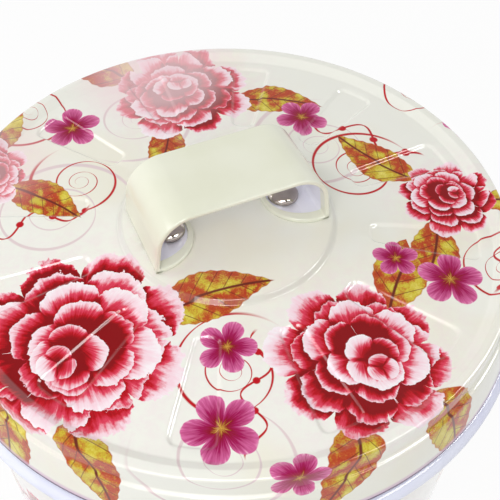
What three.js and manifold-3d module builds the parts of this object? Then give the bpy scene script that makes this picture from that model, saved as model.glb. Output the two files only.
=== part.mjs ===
// Round tinplate storage box: a rolled wall with a curled rim, a seamed bottom, and a lift-off
// lid with twelve pressed flutes, a plug ring and a riveted strap handle.
// Millimetres, +Z up. The origin is on the ground, on the box's axis. The handle runs along X.

import * as THREE from "three";
import { mergeVertices } from "three/addons/utils/BufferGeometryUtils.js";
import Module from "manifold-3d";

const wasm = await Module();
wasm.setup();

// Driving dimensions

const sheet = 0.7;
const seat_gap = 0.3;

const body_radius = 115;
const body_height = 210;
const curl_radius = 4.2;
const curl_turn_share = 0.78;

const chime_height = 4;
const chime_bend = 0.8;
const bottom_recess = 5.5;
const bottom_bead_radius = 88;
const bottom_bead_width = 7;
const bottom_bead_height = 1.4;

const foot_overhang = 1.5;
const lid_lip_width = 4.4;
const lid_height = 27.5;
const bead_drop = 1.5;
const bead_inset = 5.8;
const bead_top_width = 4;
const bead_slope_width = 3.8;
const rim_panel_drop = 4.3;
const shoulder_height = 16.9;
const shoulder_inset = 3.7;
const shoulder_ledge = 1.4;
const shoulder_fall = 0.5;

const step_bend = 1;
const toe_bend = 2;
const bead_bend = 2;
const groove_bend = 1;
const shoulder_bend = 0.9;
const foot_bend = 1.1;

const disc_radius = 42.6;
const disc_step_width = 1.8;
const disc_step_height = 1.9;

const flute_count = 12;
const flute_depth = 1.1;
const flute_inner_radius = 57;
const flute_rim_margin = 4;
const flute_end_run = 1.6;
const flute_floor_share = 0.125;
const flute_rim_share = 0.185;

const plug_depth = 12;
const plug_clearance = 0.7;
const plug_lead_in = 1.4;
const plug_bend = 0.6;

const strap_length = 74;
const strap_width = 36;
const strap_height = 25.8;
const strap_sheet = 1;
const strap_bend_radius = 15;
const strap_foot_bend_radius = 2.8;
const strap_foot_length = 21.2;
const strap_lean = THREE.MathUtils.degToRad(7);
const hem_width = 4.6;
const hem_tip_width = 2.2;
const hem_rise = 0.9;
const hem_slope_width = 0.4;
const hem_edge_share = 0.25;

const rivet_head_radius = 6.4;
const rivet_head_height = 3.8;
const rivet_brim_share = 0.16;
const rivet_shank_radius = 3;
const rivet_tail_radius = 4.8;
const rivet_tail_height = 1.1;
const rivet_foot_share = 0.571;

// Fineness of the round surfaces

const turn_segments = 60;
const rivet_segments = 16;
const bend_step_angle = THREE.MathUtils.degToRad(40);
const curl_steps = 10;
const strap_bend_steps = 7;
const strap_foot_bend_steps = 4;
const foot_end_steps = 9;
const foot_first_step_share = 0.3;
const station_gap_share = 0.9;
const dome_steps = 6;
const merge_share = 0.001;

// Sizes worked out from the driving dimensions

const body_inner_radius = body_radius - sheet;
const curl_centre_radius = body_inner_radius + curl_radius;
const curl_centre_height = body_height - curl_radius;
const lid_base_height = body_height + seat_gap;
const lid_foot_radius = curl_centre_radius + foot_overhang;
const disc_top_height = lid_base_height + lid_height;
const strap_floor_height = disc_top_height + seat_gap;
const strap_half_length = strap_length / 2;
const rivet_offset = strap_half_length - strap_foot_length * rivet_foot_share;

const quarter_turn = Math.PI / 2;
const half_turn = Math.PI;

// Outline helpers

function at(radius, height) {
  return new THREE.Vector2(radius, height);
}

function arc(centre, radius, from_angle, to_angle, steps) {
  const points = [];
  for (let i = 0; i <= steps; i += 1) {
    const angle = THREE.MathUtils.lerp(from_angle, to_angle, i / steps);
    points.push(at(centre.x + radius * Math.cos(angle), centre.y + radius * Math.sin(angle)));
  }
  return points;
}

// A corner is a point with the radius of the bend there, and 0 leaves it sharp.
function corner(radius, height, bend = 0) {
  return { point: at(radius, height), bend };
}

// Replaces each bent corner of a line by an arc that touches both of its sides.
function bent_line(corners) {
  const points = [];
  corners.forEach(({ point, bend }, index) => {
    if (bend === 0) {
      points.push(point);
      return;
    }
    const back = corners[index - 1].point.clone().sub(point);
    const ahead = corners[index + 1].point.clone().sub(point);
    const half_angle = Math.acos(back.dot(ahead) / (back.length() * ahead.length())) / 2;
    back.normalize();
    ahead.normalize();
    const centre_distance = bend / Math.sin(half_angle);
    const centre = back.clone().add(ahead).normalize().multiplyScalar(centre_distance).add(point);
    const tangent_length = bend / Math.tan(half_angle);
    const start = point.clone().addScaledVector(back, tangent_length).sub(centre);
    const end = point.clone().addScaledVector(ahead, tangent_length).sub(centre);
    const start_angle = Math.atan2(start.y, start.x);
    const sweep = Math.atan2(start.cross(end), start.dot(end));
    const steps = Math.max(Math.round(Math.abs(sweep) / bend_step_angle), 1);
    points.push(...arc(centre, bend, start_angle, start_angle + sweep, steps));
  });
  return points;
}

// The same line moved sideways, to the right of its direction of travel.
function offset_line(points, distance) {
  return points.map((point, index) => {
    const before = points[Math.max(index - 1, 0)];
    const after = points[Math.min(index + 1, points.length - 1)];
    const arriving = point.clone().sub(before).normalize();
    const leaving = after.clone().sub(point).normalize();
    if (index === 0) arriving.copy(leaving);
    if (index === points.length - 1) leaving.copy(arriving);
    const side = at(arriving.y + leaving.y, -arriving.x - leaving.x).normalize();
    const mitre = side.dot(at(arriving.y, -arriving.x));
    return point.clone().addScaledVector(side, distance / mitre);
  });
}

// Closed outline of a bent sheet: one face, then the other on the way back. The other face lies
// to the right of the line, or to the left where the side is -1.
function sheet_outline(face, side = 1) {
  return [...face, ...offset_line(face, side * sheet).reverse()];
}

// Solid helpers

function signed_volume(geometry) {
  const position = geometry.getAttribute("position");
  const [a, b, c] = [new THREE.Vector3(), new THREE.Vector3(), new THREE.Vector3()];
  let volume = 0;
  for (let i = 0; i < geometry.index.count; i += 3) {
    a.fromBufferAttribute(position, geometry.index.getX(i));
    b.fromBufferAttribute(position, geometry.index.getX(i + 1));
    c.fromBufferAttribute(position, geometry.index.getX(i + 2));
    volume += a.dot(b.cross(c)) / 6;
  }
  return volume;
}

// Shares vertices, drops triangles that have closed up, and turns the faces outwards.
function closed_body(source) {
  const bare = source.clone();
  bare.deleteAttribute("normal");
  bare.deleteAttribute("uv");
  const geometry = mergeVertices(bare, sheet * merge_share);
  const kept = [];
  for (let i = 0; i < geometry.index.count; i += 3) {
    const triangle = [0, 1, 2].map((step) => geometry.index.getX(i + step));
    if (new Set(triangle).size === 3) kept.push(triangle);
  }
  geometry.setIndex(kept.flat());
  if (signed_volume(geometry) < 0) {
    geometry.setIndex(kept.map(([first, second, third]) => [first, third, second]).flat());
  }
  geometry.computeVertexNormals();
  return geometry;
}

// Turns an outline that starts on the axis or else closes on itself.
function turned(outline, segments = turn_segments) {
  const profile = outline[0].x === 0 ? outline : [...outline, outline[0]];
  return closed_body(new THREE.LatheGeometry(profile, segments).rotateX(quarter_turn));
}

function to_manifold(geometry) {
  return new wasm.Manifold(new wasm.Mesh({
    numProp: 3,
    vertProperties: Float32Array.from(geometry.getAttribute("position").array),
    triVerts: Uint32Array.from(geometry.index.array),
  }));
}

function from_manifold(solid) {
  const { vertProperties, triVerts } = solid.getMesh();
  const geometry = new THREE.BufferGeometry();
  geometry.setAttribute("position", new THREE.BufferAttribute(vertProperties, 3));
  geometry.setIndex(new THREE.BufferAttribute(triVerts, 1));
  return closed_body(geometry);
}

// Clearance holes for both rivet shanks, along Z, through a span of heights.
function with_rivet_holes(geometry, low, high) {
  let solid = to_manifold(geometry);
  for (const side of [-1, 1]) {
    const hole_radius = rivet_shank_radius + seat_gap;
    const drill = new THREE.CylinderGeometry(hole_radius, hole_radius, high - low, rivet_segments);
    drill.rotateX(quarter_turn).translate(side * rivet_offset, 0, (low + high) / 2);
    solid = solid.subtract(to_manifold(closed_body(drill)));
  }
  return from_manifold(solid);
}

// Body

// The wall's inside goes up into the rim and rolls outwards, so the curl shows the inner finish.
function body_wall() {
  const curl_end_angle = -curl_turn_share * half_turn;
  const face = [
    at(body_radius, sheet + seat_gap),
    at(body_radius, curl_centre_height),
    ...arc(at(curl_centre_radius, curl_centre_height), curl_radius - sheet,
      half_turn, curl_end_angle, curl_steps).slice(1),
  ];
  return turned(sheet_outline(face, -1));
}

// The bottom's edge runs down inside the wall, turns under it and up outside as the chime.
function body_bottom() {
  const channel_inner_radius = body_inner_radius - seat_gap;
  const channel_outer_radius = body_radius + seat_gap;
  const bead_start = bottom_bead_radius - bottom_bead_width / 2;
  const bead_end = bottom_bead_radius + bottom_bead_width / 2;
  const face = bent_line([
    corner(0, bottom_recess),
    corner(bead_start - bottom_bead_height, bottom_recess),
    corner(bead_start, bottom_recess + bottom_bead_height),
    corner(bead_end, bottom_recess + bottom_bead_height),
    corner(bead_end + bottom_bead_height, bottom_recess),
    corner(channel_inner_radius - sheet, bottom_recess),
    corner(channel_inner_radius - sheet, 0, chime_bend),
    corner(channel_outer_radius + sheet, 0, chime_bend),
    corner(channel_outer_radius + sheet, chime_height),
  ]);
  return turned(sheet_outline(face, -1));
}

// Lid

const bead_height = lid_height - bead_drop;
const rim_panel_height = lid_height - rim_panel_drop;
const bead_radius = lid_foot_radius - bead_inset;
const bead_inner_radius = bead_radius - bead_top_width;
const panel_edge_radius = bead_inner_radius - bead_slope_width;
const shoulder_radius = lid_foot_radius - shoulder_inset;
const panel_start_radius = disc_radius + disc_step_width;
const panel_start_height = lid_height - disc_step_height;
const flute_outer_radius = panel_edge_radius - flute_rim_margin;

function panel_height(radius) {
  const share = (radius - panel_start_radius) / (panel_edge_radius - panel_start_radius);
  return THREE.MathUtils.lerp(panel_start_height, rim_panel_height, share);
}

// The lid's outside from the centre of its disc to the edge of the lip under its wall.
function lid_face() {
  const flute_rows = [
    flute_inner_radius,
    flute_inner_radius + flute_end_run,
    flute_outer_radius - flute_end_run,
    flute_outer_radius,
  ];
  return bent_line([
    corner(0, lid_height),
    corner(disc_radius, lid_height, step_bend),
    corner(panel_start_radius, panel_start_height, step_bend),
    ...flute_rows.map((radius) => corner(radius, panel_height(radius))),
    corner(panel_edge_radius, rim_panel_height, toe_bend),
    corner(bead_inner_radius, bead_height, bead_bend),
    corner(bead_radius, bead_height, bead_bend),
    corner(shoulder_radius - shoulder_ledge, shoulder_height + shoulder_fall, groove_bend),
    corner(shoulder_radius, shoulder_height, shoulder_bend),
    corner(lid_foot_radius, 0, foot_bend),
    corner(lid_foot_radius - lid_lip_width, 0),
  ]);
}

// The turned columns of each flute's share of the turn, counted from the flute's middle, and
// where they are drawn to: the flute's middle, the edge of its floor, and its rim.
const flute_pitch = (2 * half_turn) / flute_count;
const columns_per_flute = turn_segments / flute_count;
const drawn_shares = [0, flute_floor_share, flute_rim_share];

// Draws the panel's columns to the flutes' edges, and presses the flutes into both faces.
function press_flutes(geometry) {
  const position = geometry.getAttribute("position");
  const margin = flute_end_run / 2;
  for (let i = 0; i < position.count; i += 1) {
    const radius = Math.hypot(position.getX(i), position.getY(i));
    if (radius < flute_inner_radius - margin || radius > flute_outer_radius + margin) continue;
    const turn = Math.atan2(position.getY(i), position.getX(i)) / flute_pitch;
    const column = Math.round((turn - Math.round(turn)) * columns_per_flute);
    const share = drawn_shares[Math.abs(column)];
    const angle = (Math.round(turn) + Math.sign(column) * share) * flute_pitch;
    const inner_end = (radius - flute_inner_radius) / flute_end_run;
    const outer_end = (flute_outer_radius - radius) / flute_end_run;
    const along = THREE.MathUtils.clamp(Math.min(inner_end, outer_end), 0, 1);
    const press = share === flute_rim_share ? 0 : flute_depth * along;
    position.setXYZ(i, radius * Math.cos(angle), radius * Math.sin(angle), position.getZ(i) - press);
  }
  return geometry;
}

function lid_shell() {
  const pressed = press_flutes(turned(sheet_outline(lid_face())));
  pressed.translate(0, 0, lid_base_height);
  return with_rivet_holes(pressed, disc_top_height - 3 * sheet, disc_top_height + sheet);
}

// A ring whose flange lies on the lid's lip and whose skirt drops into the body's mouth.
function lid_plug_ring() {
  const plug_radius = body_inner_radius - plug_clearance;
  const flange_height = sheet + seat_gap;
  const flange_radius = lid_foot_radius - 2 * sheet - seat_gap;
  const face = bent_line([
    corner(flange_radius, flange_height),
    corner(plug_radius, flange_height, plug_bend),
    corner(plug_radius, plug_lead_in - plug_depth, plug_bend),
    corner(plug_radius - plug_lead_in, -plug_depth),
  ]);
  return turned(sheet_outline(face)).translate(0, 0, lid_base_height);
}

// Handle

// Half of the strap's outer face in side view, from the tip of a foot to the middle of the top.
// Each station has a place, the direction towards the inner face, and its distance from the tip.
function strap_half_route() {
  const foot_centre_x = strap_half_length - strap_foot_bend_radius;
  const top_centre_height = strap_height - strap_bend_radius;
  const lean_rise = Math.sin(strap_lean);
  const tangent_shift = strap_foot_bend_radius * (1 + lean_rise) - strap_bend_radius
    - lean_rise * top_centre_height;
  const top_centre_x = foot_centre_x + tangent_shift / Math.cos(strap_lean);
  const tip_x = strap_half_length - strap_foot_length;
  const stations = [];

  for (const from_tip of foot_stations()) {
    stations.push({ place: at(tip_x + from_tip, 0), inward: at(0, 1), from_tip });
  }
  const bends = [
    [at(foot_centre_x, strap_foot_bend_radius), strap_foot_bend_radius, -quarter_turn, strap_lean,
      strap_foot_bend_steps],
    [at(top_centre_x, top_centre_height), strap_bend_radius, strap_lean, quarter_turn,
      strap_bend_steps],
  ];
  for (const [centre, radius, from_angle, to_angle, steps] of bends) {
    for (const place of arc(centre, radius, from_angle, to_angle, steps)) {
      const inward = centre.clone().sub(place).normalize();
      stations.push({ place, inward, from_tip: strap_foot_length });
    }
  }
  return stations;
}

// Distances from the tip at which the round end of a foot is cut into rows.
function foot_stations() {
  const end_radius = strap_width / 2;
  const distances = [hem_tip_width - hem_slope_width, hem_tip_width, end_radius];
  for (let i = 0; i < foot_end_steps - 1; i += 1) {
    const step = i + foot_first_step_share;
    const angle = (quarter_turn * step) / (foot_end_steps - 1 + foot_first_step_share);
    distances.push(end_radius * (1 - Math.cos(angle)));
  }
  const nearness = hem_slope_width * station_gap_share;
  const sorted = distances.sort((first, second) => first - second);
  return sorted.filter((distance, index) => index === 0 || distance - sorted[index - 1] > nearness);
}

// Half width of the round-ended outline drawn in from the strap's sides and from the foot's tip.
function half_width(from_tip, side_inset, tip_inset) {
  const end_radius = strap_width / 2;
  const short_of_centre = Math.max(end_radius - from_tip, 0);
  const along_share = short_of_centre / (end_radius - tip_inset);
  return (end_radius - side_inset) * Math.sqrt(Math.max(1 - along_share ** 2, 0));
}

// One cross-section of the strap: across its width, and inwards from its outer face.
function strap_section(from_tip) {
  const hem_thickness = strap_sheet + hem_rise;
  const edge = half_width(from_tip, 0, 0);
  const edge_round = Math.min(hem_thickness * hem_edge_share, edge / 2);
  const hem_edge = half_width(
    from_tip,
    hem_width - hem_slope_width,
    hem_tip_width - hem_slope_width,
  );
  const floor_edge = half_width(from_tip, hem_width, hem_tip_width);
  const floor = hem_edge > 0 ? strap_sheet : hem_thickness;
  const half = [
    at(edge - edge_round, 0),
    at(edge, edge_round),
    at(edge, hem_thickness - edge_round),
    at(edge - edge_round, hem_thickness),
    at(hem_edge, hem_thickness),
    at(floor_edge, floor),
  ];
  const mirrored = half.map((point) => at(-point.x, point.y)).reverse();
  return [...half, ...mirrored];
}

function handle_strap() {
  const half_route = strap_half_route();
  const other_half = half_route.map(({ place, inward, from_tip }) => ({
    place: at(-place.x, place.y),
    inward: at(-inward.x, inward.y),
    from_tip,
  }));
  const route = [...half_route, ...other_half.reverse()];
  const vertices = [];
  for (const { place, inward, from_tip } of route) {
    for (const { x: across, y: depth } of strap_section(from_tip)) {
      vertices.push(place.x + inward.x * depth, across, place.y + inward.y * depth);
    }
  }
  const section_size = strap_section(0).length;
  const last_row = (route.length - 1) * section_size;
  const indices = [];
  for (let row = 0; row < last_row; row += section_size) {
    for (let i = 0; i < section_size; i += 1) {
      const next = (i + 1) % section_size;
      indices.push(row + i, row + next, row + section_size + i);
      indices.push(row + next, row + section_size + next, row + section_size + i);
    }
  }
  for (let i = 1; i < section_size - 1; i += 1) {
    indices.push(0, i + 1, i);
    indices.push(last_row, last_row + i, last_row + i + 1);
  }
  const geometry = new THREE.BufferGeometry();
  geometry.setAttribute("position", new THREE.Float32BufferAttribute(vertices, 3));
  geometry.setIndex(indices);
  const strap = closed_body(geometry).translate(0, 0, strap_floor_height);
  return with_rivet_holes(strap, strap_floor_height - sheet, strap_floor_height + 3 * strap_sheet);
}

// A domed head over the strap's foot, a shank through strap and lid, and a tail spread beneath.
function rivet() {
  const head_base = strap_floor_height + strap_sheet + seat_gap;
  const brim = rivet_head_height * rivet_brim_share;
  const tail_top = disc_top_height - sheet - seat_gap;
  const tail_bend = rivet_tail_height / 2;
  const dome = [];
  for (let i = 0; i <= dome_steps; i += 1) {
    const angle = (quarter_turn * i) / dome_steps;
    dome.push(at(
      rivet_head_radius * Math.cos(angle),
      head_base + brim + (rivet_head_height - brim) * Math.sin(angle),
    ));
  }
  dome[dome_steps].x = 0;
  const outline = [
    at(0, tail_top - rivet_tail_height),
    at(rivet_tail_radius - tail_bend, tail_top - rivet_tail_height),
    at(rivet_tail_radius, tail_top - tail_bend),
    at(rivet_tail_radius - tail_bend / 2, tail_top),
    at(rivet_shank_radius, tail_top),
    at(rivet_shank_radius, head_base),
    at(rivet_head_radius, head_base),
    ...dome,
  ];
  return turned(outline, rivet_segments);
}

// Materials

function painted(color) {
  return new THREE.MeshStandardMaterial({ color, roughness: 0.3, metalness: 0 });
}

function plated(color) {
  return new THREE.MeshStandardMaterial({ color, roughness: 0.15, metalness: 1 });
}

const cream_print = 0xe9e8df;
const handle_cream = 0xecedd9;
const inner_lacquer = 0xdfe0f2;
const tinplate = 0xc3c6c9;
const chrome = 0xb8b6b2;

// Assembly

function piece(name, geometry, material, x = 0) {
  const mesh = new THREE.Mesh(geometry, material);
  mesh.name = name;
  mesh.position.x = x;
  return mesh;
}

const body = new THREE.Group();
body.add(
  piece("body_wall", body_wall(), painted(cream_print)),
  piece("body_bottom", body_bottom(), plated(tinplate)),
);

const lid = new THREE.Group();
lid.add(
  piece("lid_shell", lid_shell(), painted(cream_print)),
  piece("lid_plug_ring", lid_plug_ring(), painted(inner_lacquer)),
  piece("handle_strap", handle_strap(), painted(handle_cream)),
  piece("rivet_left", rivet(), plated(chrome), -rivet_offset),
  piece("rivet_right", rivet(), plated(chrome), rivet_offset),
);

const storage_box = new THREE.Group();
storage_box.add(body, lid);

export default storage_box;
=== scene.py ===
import math

import bmesh
import bpy
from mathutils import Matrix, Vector


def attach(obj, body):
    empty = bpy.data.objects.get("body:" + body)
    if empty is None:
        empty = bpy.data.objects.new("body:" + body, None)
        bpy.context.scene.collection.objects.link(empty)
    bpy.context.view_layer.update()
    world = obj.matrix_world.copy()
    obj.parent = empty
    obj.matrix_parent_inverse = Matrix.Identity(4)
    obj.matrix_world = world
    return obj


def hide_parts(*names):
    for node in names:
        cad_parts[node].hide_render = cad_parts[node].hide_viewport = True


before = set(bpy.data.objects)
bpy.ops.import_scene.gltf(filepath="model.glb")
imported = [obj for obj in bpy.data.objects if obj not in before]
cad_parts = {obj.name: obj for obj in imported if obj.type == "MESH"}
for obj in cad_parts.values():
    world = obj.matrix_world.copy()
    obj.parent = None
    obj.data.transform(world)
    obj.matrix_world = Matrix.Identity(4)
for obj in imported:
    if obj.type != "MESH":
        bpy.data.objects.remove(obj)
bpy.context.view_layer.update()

MM = 0.001

# Sizes in millimetres. They are the CAD's, apart from some bends, the drawn curl, the hem's
# slope, and the corner and seat of the strap's foot, which are finer here.

SHEET = 0.7
GAP = 0.3
BODY_RADIUS = 115.0
BODY_HEIGHT = 210.0
CURL_RADIUS = 4.2
CURL_DRAWN = 4.12
CURL_TURN_SHARE = 0.78
CHIME_HEIGHT = 4
CHIME_BEND = 0.8
BOTTOM_Z = 5.5
BOTTOM_BEND = 1.2
BOTTOM_BEAD_X = 88.0
BOTTOM_BEAD_HALF = 3.5
BOTTOM_BEAD_RISE = 1.4
BOTTOM_BEAD_FOOT_BEND = 2
BODY_INNER = BODY_RADIUS - SHEET
CURL_X = BODY_INNER + CURL_RADIUS
CURL_Z = BODY_HEIGHT - CURL_RADIUS
LID_Z = BODY_HEIGHT + GAP
FOOT_RADIUS = CURL_X + 1.5
LIP_WIDTH = 4.4
LID_HEIGHT = 27.5
BEAD_Z = LID_HEIGHT - 1.5
PANEL_EDGE_Z = LID_HEIGHT - 4.3
BEAD_X = FOOT_RADIUS - 5.8
BEAD_INNER_X = BEAD_X - 4.0
PANEL_EDGE_X = BEAD_INNER_X - 3.8
SHOULDER_X = FOOT_RADIUS - 3.7
SHOULDER_Z = 16.9
SHOULDER_LEDGE = 1.4
SHOULDER_FALL = 0.5
STEP_BEND = 1
TOE_BEND = 2
BEAD_BEND = 1.3
GROOVE_BEND = 1
SHOULDER_BEND = 0.9
LID_FOOT_BEND = 1.1
DISC_RADIUS = 42.6
DISC_FLAT_RADIUS = 20
PANEL_START_X = DISC_RADIUS + 1.8
PANEL_START_Z = LID_HEIGHT - 1.9
FLUTE_COUNT = 12
FLUTE_DEPTH = 1.1
FLUTE_INNER = 57.0
FLUTE_OUTER = PANEL_EDGE_X - 4.0
FLUTE_HALF_ANGLE = math.radians(5.3)
FLUTE_RUN = 1.7
FLUTE_CORNER = 4.2
PLUG_CLEARANCE = 0.7
PLUG_DEPTH = 12
PLUG_LEAD_IN = 1.4
PLUG_BEND = 0.8
DISC_TOP = LID_Z + LID_HEIGHT
STRAP_Z = DISC_TOP + GAP
STRAP_HALF = 37.0
STRAP_WIDTH = 36.0
STRAP_HEIGHT = 25.8
STRAP_SHEET = 1.0
STRAP_BEND = 15.0
FOOT_BEND = 2.8
FOOT_CORNER = 1.0
FOOT_SEAT = GAP - 0.02
FOOT_LENGTH = 21.2
STRAP_LEAN = math.radians(7)
HEM_WIDTH = 4.6
HEM_TIP_WIDTH = 2.2
HEM_RISE = 0.9
HEM_SLOPE = 0.35
HEM_ROUND_SHARE = 0.42
RIVET_X = STRAP_HALF - FOOT_LENGTH * 0.571
RIVET_HEAD = 6.4
RIVET_HEIGHT = 3.8
RIVET_SHANK = 3.0
RIVET_BRIM_SHARE = 0.16
RIVET_TAIL = ((0, -1.1), (4.25, -1.1), (4.65, -0.9), (4.8, -0.55), (4.5, 0))
HOLE_CLEARANCE = 0.1
DRILL_NEAR = 1
DRILL_FAR = 3

# Fineness of the meshes

BEND_STEP = math.radians(9)
LEAST_BEND_STEPS = 3
SHARP_ANGLE = math.radians(38)
TURN_STEPS = 240
RIVET_STEPS = 96
HOLE_STEPS = 48
MERGE_DISTANCE = 0.002

QUARTER = math.pi / 2
TURN = 2 * math.pi


# Outlines

def arc(centre, radius, start, end, steps):
    turns = [start + (end - start) * i / steps for i in range(steps + 1)]
    return [(centre[0] + radius * math.cos(t), centre[1] + radius * math.sin(t)) for t in turns]


def bent(corners):
    """A line of (x, z, bend) corners with each bend drawn as an arc."""
    points = []
    for i, (x, z, bend) in enumerate(corners):
        here = Vector((x, z))
        if not bend:
            points.append((x, z))
            continue
        back = (Vector(corners[i - 1][:2]) - here).normalized()
        ahead = (Vector(corners[i + 1][:2]) - here).normalized()
        half = back.angle(ahead) / 2
        centre = here + (back + ahead).normalized() * bend / math.sin(half)
        reach = bend / math.tan(half)
        first = here + back * reach - centre
        last = here + ahead * reach - centre
        sweep = math.atan2(first.x * last.y - first.y * last.x, first.dot(last))
        start = math.atan2(first.y, first.x)
        steps = max(LEAST_BEND_STEPS, round(abs(sweep) / BEND_STEP))
        points += arc(centre, bend, start, start + sweep, steps)
    return points


def offset(points, distance):
    """The line moved to the right of its direction of travel."""
    moved = []
    for i, point in enumerate(points):
        here = Vector(point)
        arrive = here - Vector(points[i - 1]) if i else Vector(points[1]) - here
        leave = Vector(points[i + 1]) - here if i < len(points) - 1 else arrive
        arrive.normalize()
        leave = leave.normalized()
        side = Vector((arrive.y + leave.y, -arrive.x - leave.x)).normalized()
        mitre = side.dot(Vector((arrive.y, -arrive.x)))
        moved.append(tuple(here + side * distance / mitre))
    return moved


def filled(points, longest):
    """The line with its long stretches cut into even steps."""
    out = [points[0]]
    for a, b in zip(points, points[1:]):
        steps = max(1, math.ceil(math.dist(a, b) / longest))
        out += [(a[0] + (b[0] - a[0]) * i / steps, a[1] + (b[1] - a[1]) * i / steps)
                for i in range(1, steps + 1)]
    return out


# Meshes

def finish_mesh(name, mesh_data, slots):
    """Turns a bmesh into a piece with smooth faces and outward normals."""
    bmesh.ops.recalc_face_normals(mesh_data, faces=mesh_data.faces)
    mesh = bpy.data.meshes.new(name)
    mesh_data.to_mesh(mesh)
    mesh_data.free()
    for polygon in mesh.polygons:
        polygon.use_smooth = True
    mesh.set_sharp_from_angle(angle=SHARP_ANGLE)
    for material in slots:
        mesh.materials.append(material)
    piece = bpy.data.objects.new(name, mesh)
    bpy.context.scene.collection.objects.link(piece)
    return piece


def lathe(profile, angles, shift_z=0.0, press=None, inner_from=None, closed=True):
    """A bmesh turned from an outline.

    press moves a point, and faces from row inner_from on take the second material.
    """
    data = bmesh.new()
    rows = []
    for x, z in profile:
        if abs(x) < 1e-6:
            rows.append([data.verts.new((0, 0, (z + shift_z) * MM))])
            continue
        row = []
        for angle in angles:
            radius, height = press(x, z, angle) if press else (x, z)
            row.append(data.verts.new((radius * math.cos(angle) * MM,
                                       radius * math.sin(angle) * MM,
                                       (height + shift_z) * MM)))
        rows.append(row)
    pairs = list(zip(range(len(rows)), range(1, len(rows))))
    if closed:
        pairs.append((len(rows) - 1, 0))
    count = len(angles)
    for lower, upper in pairs:
        a, b = rows[lower], rows[upper]
        for i in range(count):
            j = (i + 1) % count
            if len(a) == 1:
                face = data.faces.new((a[0], b[i], b[j]))
            elif len(b) == 1:
                face = data.faces.new((a[i], b[0], a[j]))
            else:
                face = data.faces.new((a[i], b[i], b[j], a[j]))
            if inner_from is not None and lower >= inner_from:
                face.material_index = 1
    return data


def even_angles(count):
    return [TURN * i / count for i in range(count)]


def at_rivet(data, side):
    """Moves a bmesh from the axis to one rivet's place."""
    bmesh.ops.translate(data, verts=data.verts, vec=(side * RIVET_X * MM, 0, 0))


def drill(piece, low, high):
    """Cuts both rivet holes through a piece."""
    radius = RIVET_SHANK + HOLE_CLEARANCE
    cutters = []
    for side in (-1, 1):
        data = lathe([(0, low), (radius, low), (radius, high), (0, high)],
                     even_angles(HOLE_STEPS), closed=False)
        at_rivet(data, side)
        cutter = finish_mesh("cutter", data, [])
        cut = piece.modifiers.new("hole", "BOOLEAN")
        cut.operation, cut.solver, cut.object = "DIFFERENCE", "EXACT", cutter
        cutters.append(cutter)
    bpy.context.view_layer.update()
    graph = bpy.context.evaluated_depsgraph_get()
    mesh = bpy.data.meshes.new_from_object(piece.evaluated_get(graph))
    piece.modifiers.clear()
    piece.data = mesh
    for cutter in cutters:
        bpy.data.objects.remove(cutter)


def smoothstep(x):
    x = min(max(x, 0.0), 1.0)
    return x * x * (3 - 2 * x)


def mount(piece, body, slot, *nodes):
    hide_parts(*nodes)
    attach(piece, body)


# Shader graph helpers

class Value:
    """A socket that numbers and other sockets can be added to, multiplied by and so on."""

    def __init__(self, graph, socket):
        self.graph, self.socket = graph, socket

    def _op(self, kind, *others):
        return self.graph.math(kind, self, *others)

    def __add__(self, other): return self._op("ADD", other)
    def __sub__(self, other): return self._op("SUBTRACT", other)
    def __rsub__(self, other): return self.graph.math("SUBTRACT", other, self)
    def __mul__(self, other): return self._op("MULTIPLY", other)
    def __truediv__(self, other): return self._op("DIVIDE", other)
    def __pow__(self, other): return self._op("POWER", other)


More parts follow.
